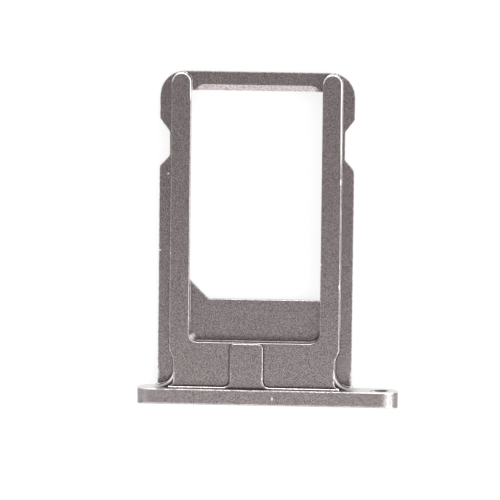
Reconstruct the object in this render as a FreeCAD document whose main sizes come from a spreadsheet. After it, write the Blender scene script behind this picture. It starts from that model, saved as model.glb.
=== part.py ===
import FreeCAD, Part
import math
import os
import Sketcher

# Sim card tray, milled from one piece of aluminium: a faceplate with rounded ends and an ejector hole,
# and behind it a stepped frame that holds a nano card between two rails.
# The tray lies on its back, rails up. +X is the ejector hole's end, +Y the far end of the frame.
# In the body's own frame y is 0 on the faceplate's inner face and z is 0 on the faceplate's back edge.

fullTurn = 2 * math.pi
tolerance = 1e-4
leastStep = 0.05

doc = FreeCAD.newDocument("SimTray")
sheet = doc.addObject("Spreadsheet::Sheet", "Sizes")

# name, value or formula, meaning
sizes = [
    ("leftReach", "1.155", "faceplate's left end beyond the frame"),
    ("rightReach", "2.8", "faceplate's right end beyond the frame, where the ejector hole is"),
    ("faceDepth", "2.0", "faceplate, back edge to front edge, also the width of its round ends"),
    ("faceThickness", "0.85", "faceplate at its long edges"),
    ("faceCrown", "0.15", "how far the outer face bulges at its middle"),
    ("faceBreak", "0.03", "rounding of the faceplate's edges"),
    ("holeDiameter", "0.86", "ejector hole"),
    ("holeFromEnd", "1.0", "ejector hole's centre from the right end"),
    ("cardLength", "12.3", "nano card"),
    ("cardWidth", "8.8", "nano card"),
    ("cardThickness", "0.67", "nano card"),
    ("cardClip", "1.65", "clipped corner of the card, along each side"),
    ("cardGap", "0.05", "clearance on each side of the card"),
    ("cardLiftGap", "0.03", "clearance over the card"),
    ("wellRound", "0.5", "corners of the card well"),
    ("clipRound", "0.3", "ends of the well's clipped corner"),
    ("sideWall", "1.31", "card well's side to the frame's side"),
    ("frameLift", "0.1", "frame's back above the faceplate's back edge"),
    ("flangeThickness", "0.35", "side flanges, crossbar and recess floor"),
    ("shoulderAside", "0.15", "how far the centres of the flanges' far corners lie inside the rails' tips"),
    ("railRise", "0.87", "raised level above the flanges"),
    ("railWidth", "1.15", "each rail"),
    ("railLip", "0.565", "how far each rail reaches over the card"),
    ("railShort", "0.03", "rail's tip short of the frame's far end"),
    ("footRound", "0.04", "rounding where walls stand on the flanges"),
    ("edgeBreak", "0.04", "rounding of the raised level's edges"),
    ("backBreak", "0.04", "rounding of the frame's back edges"),
    ("barWidth", "1.135", "crossbar at the back, from the card well to the far end"),
    ("rampRun", "0.37", "ramp on the crossbar, along y"),
    ("rampDrop", "0.25", "ramp on the crossbar, along z"),
    ("rampSide", "0.16", "ramp's side from the rail"),
    ("rampRound", "0.6", "ramp's far corners"),
    ("recessFront", "2.745", "near edge of the recess between the rails"),
    ("recessLength", "2.49", "recess floor, up to the card well"),
    ("recessRoundLeft", "0.48", "left corner of the recess"),
    ("recessRoundRight", "0.65", "right corner of the recess"),
    ("neckInset", "0.25", "how far the raised level steps in beside the faceplate"),
    ("neckNear", "1.81", "where the step ends"),
    ("neckSlant", "0.44", "length of the step, along the raised level"),
    ("neckRound", "0.75", "roundings of the step"),
    ("notchFromFar", "4.31", "both notches, from the frame's far end"),
    ("leftNotchDepth", "0.59", "left notch"),
    ("leftNotchFloor", "1.42", "left notch, length of its floor"),
    ("leftNotchFar", "0.78", "left notch, far flank along y"),
    ("leftNotchNear", "0.65", "left notch, near flank along y"),
    ("rightNotchDepth", "0.56", "right notch"),
    ("rightNotchFloor", "1.67", "right notch, length of its floor"),
    ("rightNotchFar", "0.73", "right notch, far flank along y"),
    ("rightNotchNear", "0.63", "right notch, near flank along y"),
    ("notchRound", "0.2", "notch mouths"),
    ("notchWideRound", "0.5", "right notch, near side of its mouth"),
    ("notchFloorRound", "0.33", "notch floors, far corners"),
    ("notchTightRound", "0.12", "notch floors, near corners"),
    ("landHeight", "0.1", "land on the faceplate round the frame's root"),
    ("landReach", "0.13", "how far the land passes the frame on each side"),
    ("webRadius", "0.95", "webs at the frame's root"),
    ("webDrop", "0.27", "webs at the frame's root, below the raised level"),
    ("footRadius", "0.3", "raised level's foot above its webs"),
    ("tabRise", "0.18", "tab above the raised level"),
    ("tabOffset", "0.44", "tab's centre line, to the left of the frame's"),
    ("tabWidth", "1.98", "tab"),
    ("tabLength", "2.7", "tab, from the faceplate"),
    ("tabRound", "0.28", "tab's far corners"),
    ("tabWebRadius", "0.4", "webs at the tab's root"),
    ("tabBreak", "0.07", "rounding of the tab's and the land's edges"),
    ("zero", "0", "plane of the faceplate's inner face, or of its back edge"),
    ("frameWidth", "=cardWidth + 2 * cardGap + 2 * sideWall", "frame over its side flanges"),
    ("frameOffset", "=(rightReach - leftReach) / 2", "frame's centre line, to the left of the faceplate's centre"),
    # faceplate
    ("faceLength", "=leftReach + frameWidth + rightReach", "end to end"),
    ("faceRadius", "=faceDepth / 2", "round ends"),
    ("faceRight", "=faceLength / 2 - faceRadius", "centre of the right round end"),
    ("faceLeft", "=-faceRight", "centre of the left round end"),
    ("faceReach", "=faceThickness + faceCrown", "faceplate at its middle"),
    ("faceEdge", "=-faceThickness", "outer face at its long edges"),
    ("crownRadius", "=(faceRadius * faceRadius + faceCrown * faceCrown) / (2 * faceCrown)", "outer face"),
    ("crownCentre", "=crownRadius - faceReach", "axis of the outer face"),
    ("crownClear", "=-2 * faceReach", "far side of the cut that shapes the outer face"),
    ("crownSpan", "=2 * faceLength", "width of the cut that shapes the outer face"),
    ("holeX", "=faceLength / 2 - holeFromEnd", "ejector hole"),
    # levels
    ("flangeLevel", "=frameLift + flangeThickness", "front of the flanges"),
    ("railLevel", "=flangeLevel + railRise", "front of the raised level"),
    ("tabLevel", "=railLevel + tabRise", "front of the tab and the land"),
    ("webLevel", "=railLevel - webDrop", "front of the root webs"),
    ("webHeight", "=webLevel - frameLift", "root webs, from the frame's back"),
    ("tabHeight", "=tabLevel - webLevel", "tab and land, from the root webs' front"),
    ("wellDepth", "=cardThickness + cardLiftGap", "card well, from the frame's back"),
    # card well, which is also the window between the rails
    ("wellNear", "=recessFront + recessLength", "near wall"),
    ("wellFar", "=wellNear + cardLength + 2 * cardGap", "far wall"),
    ("wellLeft", "=-frameOffset - cardWidth / 2 - cardGap", "left wall"),
    ("wellRight", "=-frameOffset + cardWidth / 2 + cardGap", "right wall"),
    ("clipY", "=wellNear + cardClip", "clipped corner, on the left wall"),
    ("clipX", "=wellLeft + cardClip", "clipped corner, on the near wall"),
    # frame outline
    ("frameLeft", "=wellLeft - sideWall", "left side"),
    ("frameRight", "=wellRight + sideWall", "right side"),
    ("frameLength", "=wellFar + barWidth", "far end"),
    ("shoulderRound", "=sideWall + railLip - railWidth / 2 + shoulderAside", "far corners of the flanges"),
    ("notchCentre", "=frameLength - notchFromFar", "both notches, from the faceplate"),
    ("leftFloorX", "=frameLeft + leftNotchDepth", "floor of the left notch"),
    ("leftFloorFar", "=notchCentre + leftNotchFloor / 2", "left notch"),
    ("leftFloorNear", "=notchCentre - leftNotchFloor / 2", "left notch"),
    ("leftMouthFar", "=leftFloorFar + leftNotchFar", "left notch"),
    ("leftMouthNear", "=leftFloorNear - leftNotchNear", "left notch"),
    ("rightFloorX", "=frameRight - rightNotchDepth", "floor of the right notch"),
    ("rightFloorFar", "=notchCentre + rightNotchFloor / 2", "right notch"),
    ("rightFloorNear", "=notchCentre - rightNotchFloor / 2", "right notch"),
    ("rightMouthFar", "=rightFloorFar + rightNotchFar", "right notch"),
    ("rightMouthNear", "=rightFloorNear - rightNotchNear", "right notch"),
    # raised level
    ("railLeftIn", "=wellLeft + railLip", "left rail"),
    ("railLeftOut", "=railLeftIn - railWidth", "left rail"),
    ("railRightIn", "=wellRight - railLip", "right rail"),
    ("railRightOut", "=railRightIn + railWidth", "right rail"),
    ("railLeftMid", "=railLeftOut + railWidth / 2", "left rail"),
    ("railRightMid", "=railRightOut - railWidth / 2", "right rail"),
    ("railEnd", "=frameLength - railShort - railWidth / 2", "centre of the rails' round ends"),
    ("neckFar", "=neckNear + neckSlant", "where the step begins"),
    ("neckLeft", "=railLeftOut + neckInset", "raised level beside the faceplate"),
    ("neckRight", "=railRightOut - neckInset", "raised level beside the faceplate"),
    # ramp
    ("rampFar", "=wellFar + rampRun", "far edge"),
    ("rampLeft", "=railLeftIn + rampSide", "left side"),
    ("rampRight", "=railRightIn - rampSide", "right side"),
    ("rampNear", "=rampFar - 2 * rampRound", "near side of the cut, in the window"),
    ("rampTurn", "=rampFar - rampRound", "where the far corners start"),
    ("rampLeftTurn", "=rampLeft + rampRound", "where the left corner ends"),
    ("rampRightTurn", "=rampRight - rampRound", "where the right corner ends"),
    ("rampSlant", "=sqrt(rampRun * rampRun + rampDrop * rampDrop)", "length of the cut"),
    # webs, land and tab
    ("webTop", "=landHeight + webRadius", "webs, on the raised level's walls"),
    ("webLeftFoot", "=neckLeft - webRadius", "left web, on the land"),
    ("webRightFoot", "=neckRight + webRadius", "right web, on the land"),
    ("landLeft", "=frameLeft - landReach", "left end"),
    ("landRight", "=frameRight + landReach", "right end"),
    ("landUpperLeft", "=neckLeft - footRadius", "land's higher part, at the raised level's foot"),
    ("landUpperRight", "=neckRight + footRadius", "land's higher part, at the raised level's foot"),
    ("footTop", "=landHeight + footRadius", "raised level's foot, on its own walls"),
    ("tabLeft", "=-frameOffset - tabOffset - tabWidth / 2", "left side"),
    ("tabRight", "=tabLeft + tabWidth", "right side"),
    # the middle of the tray's length lies over the origin
    ("placeY", "=(faceReach - frameLength) / 2", "faceplate's inner face from the origin"),
]


def fillSheet():
    for row, (name, content, meaning) in enumerate(sizes, start=1):
        sheet.set("A%d" % row, name)
        sheet.set("B%d" % row, content)
        sheet.set("C%d" % row, meaning)
        sheet.setAlias("B%d" % row, name)
    doc.recompute()


def size(name):
    return float(sheet.get(name))


def bind(feature, prop, name):
    feature.setExpression(prop, "Sizes." + name)


def newSketch(body, name, role, level=None):
    plane = [part for part in body.Origin.OriginFeatures if part.Role == role][0]
    sketch = body.newObject("Sketcher::SketchObject", name)
    sketch.AttachmentSupport = [(plane, "")]
    sketch.MapMode = "FlatFace"
    if level:
        bind(sketch, "AttachmentOffset.Base.z", level)
    return sketch


# A corner of an outline, by names in the sheet. An arc that ends there has its centre by name,
# and says whether it turns counter-clockwise.
def corner(x, y, centre=None, ccw=True):
    return {"x": x, "y": y, "centre": centre, "ccw": ccw}


def spot(x, y):
    return FreeCAD.Vector(size(x), size(y), 0)


def fixCoordinate(sketch, kind, geometry, end, name):
    index = sketch.addConstraint(Sketcher.Constraint(kind, -1, 1, geometry, end, size(name)))
    sketch.setExpression("Constraints[%d]" % index, "Sizes." + name)


def addArc(sketch, start, end, centre, ccw):
    radius = start.distanceToPoint(centre)
    circle = Part.Circle(centre, FreeCAD.Vector(0, 0, 1), radius)
    first, last = (start, end) if ccw else (end, start)
    begin = math.atan2(first.y - centre.y, first.x - centre.x) % fullTurn
    finish = math.atan2(last.y - centre.y, last.x - centre.x) % fullTurn
    if finish <= begin:
        finish += fullTurn
    return sketch.addGeometry(Part.ArcOfCircle(circle, begin, finish))


# Closed outline through its corners, each held by the sheet. An arc's centre is held along one axis,
# which with both its ends is all that it needs.
def drawOutline(sketch, corners):
    pieces = []
    for before, after in zip([corners[-1]] + corners[:-1], corners):
        start = spot(before["x"], before["y"])
        end = spot(after["x"], after["y"])
        if after["centre"]:
            index = addArc(sketch, start, end, spot(*after["centre"]), after["ccw"])
        else:
            index = sketch.addGeometry(Part.LineSegment(start, end))
        begins, ends = (1, 2) if after["ccw"] else (2, 1)
        pieces.append((index, begins, ends, start, end, after))
    for here, following in zip(pieces, pieces[1:] + pieces[:1]):
        sketch.addConstraint(Sketcher.Constraint("Coincident", here[0], here[2], following[0], following[1]))
    for index, _, ends, start, end, after in pieces:
        fixCoordinate(sketch, "DistanceX", index, ends, after["x"])
        fixCoordinate(sketch, "DistanceY", index, ends, after["y"])
        if after["centre"] and abs(end.y - start.y) >= abs(end.x - start.x):
            fixCoordinate(sketch, "DistanceX", index, 3, after["centre"][0])
        elif after["centre"]:
            fixCoordinate(sketch, "DistanceY", index, 3, after["centre"][1])


def pad(body, name, sketch, lengthName):
    feature = body.newObject("PartDesign::Pad", name)
    feature.Profile = sketch
    bind(feature, "Length", lengthName)
    doc.recompute()
    return feature


def checkCut(name, before, after):
    if after.Volume >= before.Volume - tolerance:
        raise RuntimeError(name + " cuts nothing")


def pocket(body, name, sketch, lengthName, reverse=False, direction=None, symmetric=False):
    before = body.Tip.Shape
    feature = body.newObject("PartDesign::Pocket", name)
    feature.Profile = sketch
    bind(feature, "Length", lengthName)
    feature.Reversed = reverse
    if symmetric:
        feature.SideType = "Symmetric"
    if direction:
        feature.UseCustomVector = True
        feature.Direction = direction
        feature.AlongSketchNormal = False
    doc.recompute()
    checkCut(name, before, feature.Shape)
    return feature


def fillet(body, name, radiusName, edges):
    base = body.Tip
    feature = body.newObject("PartDesign::Fillet", name)
    feature.Base = (base, ["Edge%d" % number for number in edges])
    bind(feature, "Radius", radiusName)
    doc.recompute()
    if not feature.Shape.isValid():
        raise RuntimeError(name + " is not valid")
    return feature


# Rounds the upright edges that stand at named places.
def roundUprights(body, name, radiusName, places):
    edges = []
    for number, edge in enumerate(body.Tip.Shape.Edges, start=1):
        if len(edge.Vertexes) != 2:
            continue
        foot, head = (vertex.Point for vertex in edge.Vertexes)
        upright = abs(foot.x - head.x) < tolerance and abs(foot.y - head.y) < tolerance
        if upright and any(foot.distanceToPoint(
                FreeCAD.Vector(size(x), size(y), foot.z)) < tolerance for x, y in places):
            edges.append(number)
    if len(edges) < len(places):
        raise RuntimeError(name + " finds only %d edges" % len(edges))
    return fillet(body, name, radiusName, edges)


# Edges that lie at one level, either where a wall stands on it or where the level ends.
# With side -1 the level is seen from the back.
def levelEdges(body, level, side=1, feet=False):
    shape = body.Tip.Shape
    height = size(level)
    found = []
    for number, edge in enumerate(shape.Edges, start=1):
        box = edge.BoundBox
        if abs(box.ZMin - height) > tolerance or abs(box.ZMax - height) > tolerance:
            continue
        boxes = [face.BoundBox for face in shape.ancestorsOfType(edge, Part.Face)]
        reach = max(side * (limit - height) for box in boxes for limit in (box.ZMin, box.ZMax))
        if (reach > leastStep) == feet:
            found.append(number)
    return found


# Edges round the faceplate's two faces, which are all that don't run straight from one to the other.
def rimEdges(body):
    found = []
    for number, edge in enumerate(body.Tip.Shape.Edges, start=1):
        box = edge.BoundBox
        if box.XLength > tolerance or box.ZLength > tolerance:
            found.append(number)
    return found


# Stadium plate with its outer face crowned along x.
def makeFaceplate(body):
    sketch = newSketch(body, "FaceSketch", "XZ_Plane")
    drawOutline(sketch, [
        corner("faceRight", "zero"),
        corner("faceRight", "faceDepth", ("faceRight", "faceRadius")),
        corner("faceLeft", "faceDepth"),
        corner("faceLeft", "zero", ("faceLeft", "faceRadius")),
    ])
    pad(body, "Face", sketch, "faceReach")
    crown = newSketch(body, "CrownSketch", "YZ_Plane")
    drawOutline(crown, [
        corner("crownClear", "zero"),
        corner("faceEdge", "zero"),
        corner("faceEdge", "faceDepth", ("crownCentre", "faceRadius"), ccw=False),
        corner("crownClear", "faceDepth"),
    ])
    pocket(body, "Crown", crown, "crownSpan", symmetric=True)
    fillet(body, "FaceBreak", "faceBreak", rimEdges(body))


# Through hole near the faceplate's right end, on the axis of its round end.
def cutEjectorHole(body):
    sketch = newSketch(body, "HoleSketch", "XZ_Plane")
    circle = Part.Circle(spot("holeX", "faceRadius"), FreeCAD.Vector(0, 0, 1), size("holeDiameter") / 2)
    index = sketch.addGeometry(circle)
    fixCoordinate(sketch, "DistanceX", index, 3, "holeX")
    fixCoordinate(sketch, "DistanceY", index, 3, "faceRadius")
    number = sketch.addConstraint(Sketcher.Constraint("Diameter", index, size("holeDiameter")))
    sketch.setExpression("Constraints[%d]" % number, "Sizes.holeDiameter")
    pocket(body, "EjectorHole", sketch, "faceReach", reverse=True)


# Flat plate with a notch in each side: the flanges, the crossbar and the recess floor.
def makeFlanges(body):
    sketch = newSketch(body, "FlangeSketch", "XY_Plane", "frameLift")
    drawOutline(sketch, [
        corner("frameLeft", "zero"),
        corner("frameRight", "zero"),
        corner("frameRight", "rightMouthNear"),
        corner("rightFloorX", "rightFloorNear"),
        corner("rightFloorX", "rightFloorFar"),
        corner("frameRight", "rightMouthFar"),
        corner("frameRight", "frameLength"),
        corner("frameLeft", "frameLength"),
        corner("frameLeft", "leftMouthFar"),
        corner("leftFloorX", "leftFloorFar"),
        corner("leftFloorX", "leftFloorNear"),
        corner("frameLeft", "leftMouthNear"),
    ])
    pad(body, "Flanges", sketch, "flangeThickness")
    roundUprights(body, "Shoulders", "shoulderRound",
                  [("frameLeft", "frameLength"), ("frameRight", "frameLength")])
    roundUprights(body, "NotchMouths", "notchRound",
                  [("frameLeft", "leftMouthFar"), ("frameLeft", "leftMouthNear"), ("frameRight", "rightMouthFar")])
    roundUprights(body, "NotchWideMouth", "notchWideRound", [("frameRight", "rightMouthNear")])
    roundUprights(body, "NotchFloors", "notchFloorRound",
                  [("leftFloorX", "leftFloorFar"), ("rightFloorX", "rightFloorFar")])
    roundUprights(body, "NotchTightFloors", "notchTightRound",
                  [("leftFloorX", "leftFloorNear"), ("rightFloorX", "rightFloorNear")])
    fillet(body, "BackBreak", "backBreak", levelEdges(body, "frameLift", side=-1))


# Raised level: a plateau behind the faceplate that goes on as the two rails, with a recess between them.
def makeRaisedLevel(body):
    sketch = newSketch(body, "RaisedSketch", "XY_Plane", "flangeLevel")
    drawOutline(sketch, [
        corner("landUpperLeft", "zero"),
        corner("landUpperRight", "zero"),
        corner("landUpperRight", "landHeight"),
        corner("neckRight", "footTop", ("landUpperRight", "footTop"), ccw=False),
        corner("neckRight", "neckNear"),
        corner("railRightOut", "neckFar"),
        corner("railRightOut", "railEnd"),
        corner("railRightIn", "railEnd", ("railRightMid", "railEnd")),
        corner("railRightIn", "recessFront"),
        corner("railLeftIn", "recessFront"),
        corner("railLeftIn", "railEnd"),
        corner("railLeftOut", "railEnd", ("railLeftMid", "railEnd")),
        corner("railLeftOut", "neckFar"),
        corner("neckLeft", "neckNear"),
        corner("neckLeft", "footTop"),
        corner("landUpperLeft", "landHeight", ("landUpperLeft", "footTop"), ccw=False),
    ])
    pad(body, "RaisedLevel", sketch, "railRise")
    roundUprights(body, "Neck", "neckRound",
                  [("neckLeft", "neckNear"), ("railLeftOut", "neckFar"),
                   ("neckRight", "neckNear"), ("railRightOut", "neckFar")])
    roundUprights(body, "RecessLeft", "recessRoundLeft", [("railLeftIn", "recessFront")])
    roundUprights(body, "RecessRight", "recessRoundRight", [("railRightIn", "recessFront")])


# Low land on the faceplate with a web to each side of the raised level.
def makeRootWebs(body):
    sketch = newSketch(body, "WebSketch", "XY_Plane", "frameLift")
    drawOutline(sketch, [
        corner("landLeft", "zero"),
        corner("landRight", "zero"),
        corner("landRight", "landHeight"),
        corner("webRightFoot", "landHeight"),
        corner("neckRight", "webTop", ("webRightFoot", "webTop"), ccw=False),
        corner("neckLeft", "webTop"),
        corner("webLeftFoot", "landHeight", ("webLeftFoot", "webTop"), ccw=False),
        corner("landLeft", "landHeight"),
    ])
    pad(body, "RootWebs", sketch, "webHeight")


# Tab on the plateau and the higher part of the land, one level.
def makeTab(body):
    sketch = newSketch(body, "TabSketch", "XY_Plane", "webLevel")
    drawOutline(sketch, [
        corner("landUpperLeft", "zero"),
        corner("landUpperRight", "zero"),
        corner("landUpperRight", "landHeight"),
        corner("tabRight", "landHeight"),
        corner("tabRight", "tabLength"),
        corner("tabLeft", "tabLength"),
        corner("tabLeft", "landHeight"),
        corner("landUpperLeft", "landHeight"),
    ])
    pad(body, "TabLevel", sketch, "tabHeight")
    roundUprights(body, "TabCorners", "tabRound", [("tabLeft", "tabLength"), ("tabRight", "tabLength")])
    roundUprights(body, "TabWebs", "tabWebRadius", [("tabLeft", "landHeight"), ("tabRight", "landHeight")])


# Edges of the card well where it opens at the frame's back.
def mouthEdges(body):
    middle = FreeCAD.Vector(-size("frameOffset"), (size("wellNear") + size("wellFar")) / 2, size("frameLift"))
    found = []
    for number in levelEdges(body, "frameLift", side=-1):
        box = body.Tip.Shape.Edges[number - 1].BoundBox
        acrossWell = abs(box.Center.x - middle.x) < (size("wellRight") - size("wellLeft")) / 2 + tolerance
        alongWell = abs(box.Center.y - middle.y) < (size("wellFar") - size("wellNear")) / 2 + tolerance
        if acrossWell and alongWell:
            found.append(number)
    return found


# Card well, cut from the back. Between the rails it breaks through and leaves the window.
def cutCardWell(body):
    sketch = newSketch(body, "WellSketch", "XY_Plane", "frameLift")
    drawOutline(sketch, [
        corner("clipX", "wellNear"),
        corner("wellRight", "wellNear"),
        corner("wellRight", "wellFar"),
        corner("wellLeft", "wellFar"),
        corner("wellLeft", "clipY"),
    ])
    pocket(body, "CardWell", sketch, "wellDepth", reverse=True)
    roundUprights(body, "WellCorners", "wellRound",
                  [("wellRight", "wellNear"), ("wellRight", "wellFar"), ("wellLeft", "wellFar")])
    roundUprights(body, "ClipEnds", "clipRound", [("clipX", "wellNear"), ("wellLeft", "clipY")])
    fillet(body, "WellMouth", "backBreak", mouthEdges(body))


# Ramp on the crossbar's front, down into the window, cut along its own slope.
def cutRamp(body):
    sketch = newSketch(body, "RampSketch", "XY_Plane", "flangeLevel")
    drawOutline(sketch, [
        corner("rampLeft", "rampNear"),
        corner("rampRight", "rampNear"),
        corner("rampRight", "rampTurn"),
        corner("rampRightTurn", "rampFar", ("rampRightTurn", "rampTurn")),
        corner("rampLeftTurn", "rampFar"),
        corner("rampLeft", "rampTurn", ("rampLeftTurn", "rampTurn")),
    ])
    slope = FreeCAD.Vector(0, -size("rampRun"), -size("rampDrop"))
    pocket(body, "Ramp", sketch, "rampSlant", direction=slope)


# Rounds the feet that the cutter leaves, and breaks the edges of each level.
def roundLevels(body):
    fillet(body, "Feet", "footRound", levelEdges(body, "flangeLevel", feet=True))
    fillet(body, "RaisedBreak", "edgeBreak", levelEdges(body, "railLevel"))
    fillet(body, "TabBreak", "tabBreak", levelEdges(body, "tabLevel"))


def makeTray():
    body = doc.addObject("PartDesign::Body", "Tray")
    body.Label = "tray"
    makeFaceplate(body)
    cutEjectorHole(body)
    makeFlanges(body)
    makeRaisedLevel(body)
    makeRootWebs(body)
    makeTab(body)
    cutCardWell(body)
    cutRamp(body)
    roundLevels(body)
    bind(body, "Placement.Base.y", "placeY")
    doc.recompute()
    return body


def checkDocument():
    for item in doc.Objects:
        if "Invalid" in item.State or "Error" in item.State:
            raise RuntimeError(item.Name + " is in error")
        if hasattr(item, "Shape") and item.isDerivedFrom("PartDesign::Feature"):
            if item.Shape.isNull() or not item.Shape.isValid():
                raise RuntimeError(item.Name + " has no valid shape")


fillSheet()
tray = makeTray()
checkDocument()
os.makedirs("parts", exist_ok=True)
tray.Shape.exportStep("parts/tray.step")
box = tray.Shape.optimalBoundingBox()
print("tray", len(tray.Shape.Solids), "solid,", round(tray.Shape.Volume, 3), "mm3")
print("box", [round(value, 3) for value in (box.XMin, box.XMax, box.YMin, box.YMax, box.ZMin, box.ZMax)])
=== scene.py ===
import math

import bpy
from mathutils import Matrix, Vector

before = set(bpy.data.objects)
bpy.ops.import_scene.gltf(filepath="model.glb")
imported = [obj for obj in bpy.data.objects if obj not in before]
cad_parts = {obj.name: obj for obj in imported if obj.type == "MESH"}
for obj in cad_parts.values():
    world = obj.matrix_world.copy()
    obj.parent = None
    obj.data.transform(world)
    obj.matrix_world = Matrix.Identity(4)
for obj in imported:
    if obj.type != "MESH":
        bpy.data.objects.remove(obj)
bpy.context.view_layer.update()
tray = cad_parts["tray"]

mm = 0.001


def linearColour(text):
    channels = [int(text[i:i + 2], 16) / 255 for i in (1, 3, 5)]
    return [c / 12.92 if c <= 0.04045 else ((c + 0.055) / 1.055) ** 2.4 for c in channels] + [1.0]


def emptyTree(holder):
    holder.use_nodes = True
    holder.node_tree.nodes.clear()
    return holder.node_tree


def addNode(tree, kind, settings=None, inputs=None):
    node = tree.nodes.new(kind)
    for name, value in (settings or {}).items():
        setattr(node, name, value)
    for name, value in (inputs or {}).items():
        if isinstance(value, bpy.types.NodeSocket):
            tree.links.new(value, node.inputs[name])
        else:
            node.inputs[name].default_value = value
    return node


def addMath(tree, operation, first, second):
    return addNode(tree, "ShaderNodeMath", {"operation": operation}, {0: first, 1: second}).outputs["Value"]


def addLength(tree, vector):
    return addNode(tree, "ShaderNodeVectorMath", {"operation": "LENGTH"}, {"Vector": vector}).outputs["Value"]


# A value spread from one pair of ends to another, and held at the ends.
def addRange(tree, value, ends, goal=(0.0, 1.0)):
    spread = addNode(tree, "ShaderNodeMapRange", None,
                     {"Value": value, "From Min": ends[0], "From Max": ends[1],
                      "To Min": goal[0], "To Max": goal[1]})
    return spread.outputs["Result"]


# Sockets 6 and 7 are the mix node's two colours.
def addMix(tree, share, first, second):
    return addNode(tree, "ShaderNodeMix", {"data_type": "RGBA"}, {0: share, 6: first, 7: second}).outputs[2]


def addRamp(tree, value, stops):
    node = addNode(tree, "ShaderNodeValToRGB", None, {"Fac": value})
    ramp = node.color_ramp
    while len(ramp.elements) < len(stops):
        ramp.elements.new(0.5)
    for element, (place, colour) in zip(ramp.elements, stops):
        element.position = place
        element.color = colour
    return node.outputs["Color"]


# Bead-blasted and dyed aluminium, with painted shade in its inner corners and edges lightened partly by wear
# and partly as painted highlight. Lengths are in mm, places in mm in the tray's own axes.
finishAndPaintedLight = {
    "grainLight": "#b5aeae",
    "grainDark": "#575454",
    "grainStops": (0.4, 0.6),
    "metallic": 1.0,
    "roughness": 0.3,
    "grainSize": 0.042,  # real bead marks are near 0.02 mm, drawn coarser so that they show
    "grainDetail": 2.0,
    "grainRoughness": 0.6,
    "grainHeight": 0.004,
    "grainStrength": 0.3,
    "grainTurn": (0.5, 0.9, 0.3),
    # painted shade in the inner corners, drawn by ambient occlusion
    "cornerReach": 0.2,
    "cornerOpen": (0.55, 0.88),
    "cornerShades": [(-8.9, 1.0), (-8.87, 0.1), (-5.9, 0.1), (-5.4, 0.9)],
    # edges lightened partly by wear and partly as painted highlight
    "edgeReaches": [(-8.92, 0.1), (-8.88, 0.18), (-8.0, 0.18), (-7.6, 0.065)],
    "edgeOpen": (0.92, 0.52),
    "wearAndHighlightSize": 0.16,
    "wearAndHighlightDetail": 2.0,
    "wearAndHighlightPatches": (0.42, 0.54),
    "wearAndHighlightLeast": 0.2,
    "wornAndHighlightColour": "#fbf9f8",
    "cornerSamples": 8,
    "profileLength": 10.0,  # the two lists of places above lie within this length, up to the tray's origin
    "markCore": 0.6,
}

# Nicks and specks, with painted highlights and painted reflections among them: centre and half size.
marks = [
    {"at": (0.32, -9.36, 2.0), "reach": (0.06, 0.14, 0.3), "colour": "#f4f1f0"},
    {"at": (-6.06, 3.78, 0.45), "reach": (0.09, 0.07, 0.2), "colour": "#f4f1f0"},
    {"at": (-6.52, -0.79, 0.45), "reach": (0.09, 0.07, 0.3), "colour": "#f4f1f0"},
    {"at": (-5.86, -0.85, 1.3), "reach": (0.06, 0.09, 0.2), "colour": "#f4f1f0"},
    # painted highlights along the right rail's outer edge
    {"at": (4.22, 3.53, 1.32), "reach": (0.08, 0.22, 0.09), "colour": "#ffffff"},
    {"at": (4.22, -2.7, 1.32), "reach": (0.09, 0.2, 0.09), "colour": "#ffffff"},
    {"at": (3.08, -1.39, 1.3), "reach": (0.06, 0.08, 0.2), "colour": "#f4f1f0"},
    # painted highlight in the recess's left corner nearest the faceplate
    {"at": (-4.5, -5.88, 0.9), "reach": (0.24, 0.26, 0.75), "colour": "#f4f1f0"},
    # painted highlights on the far end of the right rail's outer edge and of the left rail's inner one
    {"at": (4.2, 8.2, 1.32), "reach": (0.09, 4.4, 0.09), "colour": "#ffffff"},
    {"at": (-4.71, 8.9, 1.32), "reach": (0.09, 0.75, 0.09), "colour": "#ffffff"},
    # painted reflection of the white floor on the free ends of the faceplate's inner face
    {"at": (-7.4, -8.885, 1.0), "reach": (1.1, 0.06, 3.0), "colour": "#dcd9d9"},
    {"at": (6.7, -8.885, 1.0), "reach": (2.1, 0.06, 3.0), "colour": "#d2cfcf"},
    # a dark speck beside the ejector hole
    {"at": (6.17, -8.885, 1.15), "reach": (0.11, 0.09, 0.25), "colour": "#3a3534"},
]

# Painted highlights on the upper edges of the two webs at the root and of the rails' two tips, as half rings
# round their own axes. A side of 1 is the half towards the far end, and -1 the half towards the faceplate.
highlightRounds = [
    {"centre": (-6.5575, -7.835, 1.05), "radius": 0.95, "width": 0.14, "side": -1, "colour": "#ffffff"},
    {"centre": (4.9125, -7.835, 1.05), "radius": 0.95, "width": 0.14, "side": -1, "colour": "#ffffff"},
    {"centre": (-5.2825, 9.28, 1.32), "radius": 0.575, "width": 0.1, "side": 1, "colour": "#ffffff"},
    {"centre": (3.6375, 9.28, 1.32), "radius": 0.575, "width": 0.1, "side": 1, "colour": "#ffffff"},
]


# A value that changes along the tray's length.
def addProfile(tree, along, pairs):
    return addRamp(tree, along,
                   [(1 + y / finishAndPaintedLight["profileLength"], [value, value, value, 1.0]) for y, value in pairs])


def addMark(tree, place, colour, mark):
    scale = [1 / (reach * mm) for reach in mark["reach"]]
    offset = [-centre * mm * factor for centre, factor in zip(mark["at"], scale)]
    moved = addNode(tree, "ShaderNodeMapping", None, {"Vector": place, "Scale": scale, "Location": offset})
    inside = addRange(tree, addLength(tree, moved.outputs["Vector"]), (1.0, finishAndPaintedLight["markCore"]))
    return addMix(tree, inside, colour, linearColour(mark["colour"]))


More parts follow.
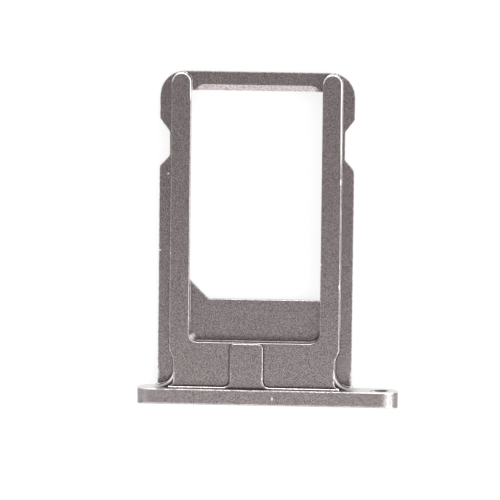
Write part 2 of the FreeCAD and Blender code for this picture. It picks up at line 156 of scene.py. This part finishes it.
def addRing(tree, place, colour, ring):
    moved = addNode(tree, "ShaderNodeMapping", None,
                    {"Vector": place, "Location": [-middle * mm for middle in ring["centre"]]})
    axes = addNode(tree, "ShaderNodeSeparateXYZ", None, {"Vector": moved.outputs["Vector"]})
    flat = addNode(tree, "ShaderNodeVectorMath", {"operation": "MULTIPLY"},
                   {0: moved.outputs["Vector"], 1: (1, 1, 0)})
    beside = addMath(tree, "SUBTRACT", addLength(tree, flat.outputs["Vector"]), ring["radius"] * mm)
    section = addNode(tree, "ShaderNodeCombineXYZ", None, {"X": beside, "Y": axes.outputs["Z"]})
    near = addRange(tree, addLength(tree, section.outputs["Vector"]),
                    (ring["width"] * mm, ring["width"] / 2 * mm))
    # only the half on one side of the axis, so not the straight wall that goes on from the other
    side = addRange(tree, axes.outputs["Y"], (0.0, ring["side"] * ring["width"] * mm))
    return addMix(tree, addMath(tree, "MULTIPLY", near, side), colour, linearColour(ring["colour"]))


def makeAluminium():
    # the material carries painted shade, painted highlights and painted reflections as well as the metal's own
    # grain
    material = bpy.data.materials.new("beadBlastedAluminiumWithPaintedLight")
    tree = emptyTree(material)
    place = addNode(tree, "ShaderNodeTexCoord").outputs["Object"]
    # turned, so that no level of the tray lies along the noise's own grid
    turned = addNode(tree, "ShaderNodeMapping", None, {"Vector": place, "Rotation": finishAndPaintedLight["grainTurn"]})
    grain = addNode(tree, "ShaderNodeTexNoise", {"noise_dimensions": "3D"},
                    {"Vector": turned.outputs["Vector"], "Scale": 1 / (finishAndPaintedLight["grainSize"] * mm),
                     "Detail": finishAndPaintedLight["grainDetail"], "Roughness": finishAndPaintedLight["grainRoughness"]})
    darkStop, lightStop = finishAndPaintedLight["grainStops"]
    tint = addRamp(tree, grain.outputs["Fac"], [(darkStop, linearColour(finishAndPaintedLight["grainDark"])),
                                                (lightStop, linearColour(finishAndPaintedLight["grainLight"]))])

    # painted shade: inner corners are darkened by ambient occlusion, most strongly between the recess and the
    # faceplate
    axes = addNode(tree, "ShaderNodeSeparateXYZ", None, {"Vector": place})
    along = addRange(tree, axes.outputs["Y"], (-finishAndPaintedLight["profileLength"] * mm, 0.0))
    corners = addNode(tree, "ShaderNodeAmbientOcclusion",
                      {"samples": finishAndPaintedLight["cornerSamples"], "only_local": True},
                      {"Distance": finishAndPaintedLight["cornerReach"] * mm})
    shade = addRange(tree, corners.outputs["AO"], finishAndPaintedLight["cornerOpen"],
                     (addProfile(tree, along, finishAndPaintedLight["cornerShades"]), 1.0))
    shaded = addNode(tree, "ShaderNodeVectorMath", {"operation": "SCALE"}, {"Vector": tint, "Scale": shade})

    # outer edges lightened in uneven patches: partly worn dye, partly a painted highlight where rounded edges
    # catch the light, reaching widest at the webs by the faceplate
    reach = addMath(tree, "MULTIPLY", addProfile(tree, along, finishAndPaintedLight["edgeReaches"]), mm)
    edges = addNode(tree, "ShaderNodeAmbientOcclusion",
                    {"samples": finishAndPaintedLight["cornerSamples"], "only_local": True, "inside": True},
                    {"Distance": reach})
    patches = addNode(tree, "ShaderNodeTexNoise", {"noise_dimensions": "3D"},
                      {"Vector": turned.outputs["Vector"], "Scale": 1 / (finishAndPaintedLight["wearAndHighlightSize"] * mm),
                       "Detail": finishAndPaintedLight["wearAndHighlightDetail"]})
    uneven = addRange(tree, patches.outputs["Fac"], finishAndPaintedLight["wearAndHighlightPatches"], (finishAndPaintedLight["wearAndHighlightLeast"], 1.0))
    wearAndHighlight = addMath(tree, "MULTIPLY", addRange(tree, edges.outputs["AO"], finishAndPaintedLight["edgeOpen"]), uneven)
    colour = addMix(tree, wearAndHighlight, shaded.outputs["Vector"], linearColour(finishAndPaintedLight["wornAndHighlightColour"]))

    # nicks and specks, and the painted highlights and reflections listed with them
    for mark in marks:
        colour = addMark(tree, place, colour, mark)
    # painted highlight rings on the webs' and the rails' tips' edges
    for ring in highlightRounds:
        colour = addRing(tree, place, colour, ring)
    bump = addNode(tree, "ShaderNodeBump", None,
                   {"Height": grain.outputs["Fac"], "Strength": finishAndPaintedLight["grainStrength"],
                    "Distance": finishAndPaintedLight["grainHeight"] * mm})
    shader = addNode(tree, "ShaderNodeBsdfPrincipled", None,
                     {"Base Color": colour, "Metallic": finishAndPaintedLight["metallic"],
                      "Roughness": finishAndPaintedLight["roughness"], "Normal": bump.outputs["Normal"]})
    addNode(tree, "ShaderNodeOutputMaterial", None, {"Surface": shader.outputs["BSDF"]})
    return material


# Floor and world. The floor lies just under the tray. Lengths are in metres.
ground = {
    "size": 4.0,
    "drop": 0.00001,
    "colour": "#e6e6e6",
    "whiteShare": 0.8,
    "skyColour": "#fff3f4",
    "skyStrength": 0.5,
}


def makeFloor():
    bpy.ops.object.select_all(action="DESELECT")
    bpy.ops.mesh.primitive_plane_add(size=ground["size"], location=(0, 0, -ground["drop"]))
    floor = bpy.context.active_object
    floor.name = "floor"
    material = bpy.data.materials.new("whitePaper")
    tree = emptyTree(material)
    paper = addNode(tree, "ShaderNodeBsdfDiffuse", None, {"Color": linearColour(ground["colour"])})
    # white where the camera or the metal sees it, with a part of the shadow kept
    rays = addNode(tree, "ShaderNodeLightPath")
    mirrored = addMath(tree, "MAXIMUM", rays.outputs["Is Glossy Ray"], rays.outputs["Is Transmission Ray"])
    seen = addMath(tree, "MAXIMUM", rays.outputs["Is Camera Ray"], mirrored)
    share = addMath(tree, "MULTIPLY", seen, ground["whiteShare"])
    white = addNode(tree, "ShaderNodeEmission", None, {"Strength": 1.0})
    both = addNode(tree, "ShaderNodeMixShader", None,
                   {0: share, 1: paper.outputs["BSDF"], 2: white.outputs["Emission"]})
    addNode(tree, "ShaderNodeOutputMaterial", None, {"Surface": both.outputs["Shader"]})
    floor.data.materials.append(material)


def makeWorld():
    world = bpy.data.worlds.new("studioWorld")
    bpy.context.scene.world = world
    tree = emptyTree(world)
    sky = addNode(tree, "ShaderNodeBackground", None,
                  {"Color": linearColour(ground["skyColour"]), "Strength": ground["skyStrength"]})
    addNode(tree, "ShaderNodeOutputWorld", None, {"Surface": sky.outputs["Background"]})


# White cards round the tray: place and size in metres, brightness where 1 is white.
cards = {
    "rightCard": {"place": (0.45, 0.0, 0.27), "faces": (-1, 0, 0), "size": (0.6, 0.54), "brightness": 2.6},
    "upperCard": {"place": (0.33, 0.0, 0.42), "faces": (-0.6, 0, -0.8), "size": (0.6, 0.3), "brightness": 1.3},
    "farCard": {"place": (0.0, 0.45, 0.15), "faces": (0, -1, 0), "size": (0.6, 0.3), "brightness": 9.0},
    "nearCard": {"place": (0.0, -0.03, 0.045), "faces": (0, 1, 0), "size": (0.3, 0.08), "brightness": 2.0},
}


def addCard(name, card):
    width, height = card["size"]
    data = bpy.data.lights.new(name, "AREA")
    data.shape = "RECTANGLE"
    data.size = width
    data.size_y = height
    data.energy = card["brightness"] * math.pi * width * height
    lamp = bpy.data.objects.new(name, data)
    bpy.context.collection.objects.link(lamp)
    lamp.location = card["place"]
    lamp.rotation_euler = (-Vector(card["faces"])).to_track_quat("Z", "Y").to_euler()
    lamp.visible_camera = False


# Camera as fitted to the photo: angles in degrees, lengths in mm, target in the tray's own axes.
cameraSetup = {
    "azimuth": 3.087,
    "elevation": 6.513,
    "roll": 0.692,
    "distance": 324.6,
    "target": (0.0, 0.079, 0.996),
    "lens": 395.2,
    "sensor": 36.0,
    "shiftX": -0.03874,
    "shiftY": -0.02304,
    "nearest": 10.0,
    "farthest": 10000.0,
}


def makeCamera():
    azimuth, elevation, roll = (math.radians(cameraSetup[name]) for name in ("azimuth", "elevation", "roll"))
    back = Vector((math.sin(azimuth) * math.cos(elevation), math.sin(elevation),
                   math.cos(azimuth) * math.cos(elevation)))
    right = Vector((math.cos(azimuth), 0, -math.sin(azimuth)))
    up = back.cross(right)
    sideways = right * math.cos(roll) + up * math.sin(roll)
    upward = up * math.cos(roll) - right * math.sin(roll)
    data = bpy.data.cameras.new("photoCamera")
    data.sensor_width = cameraSetup["sensor"]
    data.lens = cameraSetup["lens"]
    data.shift_x = cameraSetup["shiftX"]
    data.shift_y = cameraSetup["shiftY"]
    data.clip_start = cameraSetup["nearest"] * mm
    data.clip_end = cameraSetup["farthest"] * mm
    camera = bpy.data.objects.new("photoCamera", data)
    bpy.context.collection.objects.link(camera)
    place = Vector(cameraSetup["target"]) * mm + back * cameraSetup["distance"] * mm
    camera.matrix_world = Matrix.Translation(place) @ Matrix((sideways, upward, back)).transposed().to_4x4()
    bpy.context.scene.camera = camera


aluminium = makeAluminium()
for slot in tray.material_slots:
    slot.material = aluminium
print("tray finished")

makeFloor()
makeWorld()
for name, card in cards.items():
    addCard(name, card)
makeCamera()
bpy.context.scene.view_settings.view_transform = "Standard"
print("studio set")
